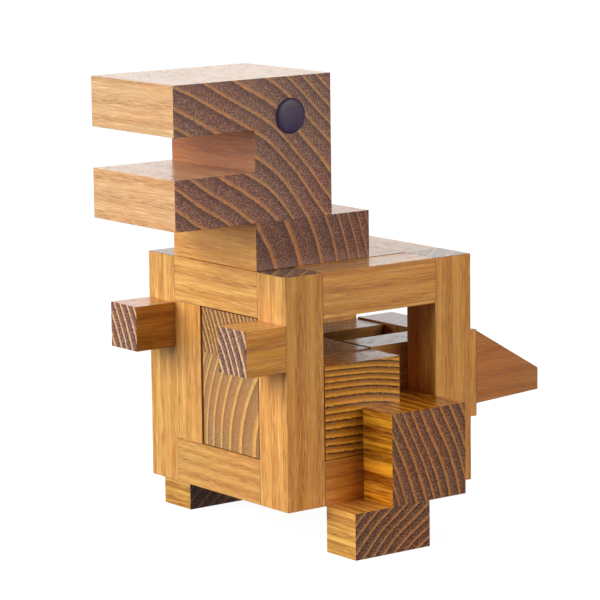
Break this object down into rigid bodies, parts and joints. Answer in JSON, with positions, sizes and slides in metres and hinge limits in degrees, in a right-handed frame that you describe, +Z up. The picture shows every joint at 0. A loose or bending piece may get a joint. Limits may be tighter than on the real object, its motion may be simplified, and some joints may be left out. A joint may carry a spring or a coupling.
{
  "type": "wooden take-apart puzzle",
  "caption": "Dinosaur-shaped wooden 3D jigsaw: an open cage of square sticks holds a sliding head, tail, legs and belly block.",
  "frame": {"origin": "on the floor under the middle of the bounding box, at the level of the soles", "axes": "+X to the animal's left, -Y forward where the jaws point, +Z up"},
  "size_m": [0.1054, 0.1478, 0.1505],
  "materials": {
    "cage_wood": "clear satin oil on ring-porous hardwood, long grain",
    "block_wood": "clear satin oil on ring-porous hardwood, end grain showing",
    "eye_black": "glossy black button"
  },
  "bodies": {
    "cage": {"arm_left": "cage_wood", "arm_right": "cage_wood", "chest_upright": "cage_wood", "post_back_left": "cage_wood", "post_back_right": "cage_wood", "post_front_left": "cage_wood", "post_front_right": "cage_wood", "rail_bottom_back": "cage_wood", "rail_bottom_front": "cage_wood", "rail_bottom_left": "cage_wood", "rail_bottom_right": "cage_wood", "rail_top_back": "cage_wood", "rail_top_front": "cage_wood", "rail_top_left": "cage_wood", "rail_top_right": "cage_wood"},
    "head": {"head_block": "block_wood", "neck_board": "block_wood", "neck_plug": "block_wood", "eye_left": "eye_black", "eye_right": "eye_black"},
    "tail": {"tail_base": "block_wood", "tail_wedge": "block_wood", "tail_prong_left": "block_wood", "tail_prong_right": "block_wood"},
    "left_leg": {"thigh_left": "block_wood", "foot_left": "block_wood", "leg_tongue_left": "block_wood", "hip_block_left": "block_wood"},
    "right_leg": {"thigh_right": "block_wood", "foot_right": "block_wood", "leg_tongue_right": "block_wood", "hip_block_right": "block_wood"},
    "belly": {"belly_block": "block_wood", "chest_block": "block_wood"}
  },
  "joints": [
    {"name": "head_lift", "type": "slide", "parent": "cage", "child": "head", "axis": [0, 0, 1], "range_m": [0, 0.02]},
    {"name": "tail_pull", "type": "slide", "parent": "cage", "child": "tail", "axis": [0, 1, 0], "range_m": [0, 0.035]},
    {"name": "left_leg_pull", "type": "slide", "parent": "cage", "child": "left_leg", "axis": [1, 0, 0], "range_m": [0, 0.035]},
    {"name": "right_leg_pull", "type": "slide", "parent": "cage", "child": "right_leg", "axis": [-1, 0, 0], "range_m": [0, 0.035]},
    {"name": "belly_pull", "type": "slide", "parent": "cage", "child": "belly", "axis": [0, -1, 0], "range_m": [0, 0.05]}
  ]
}
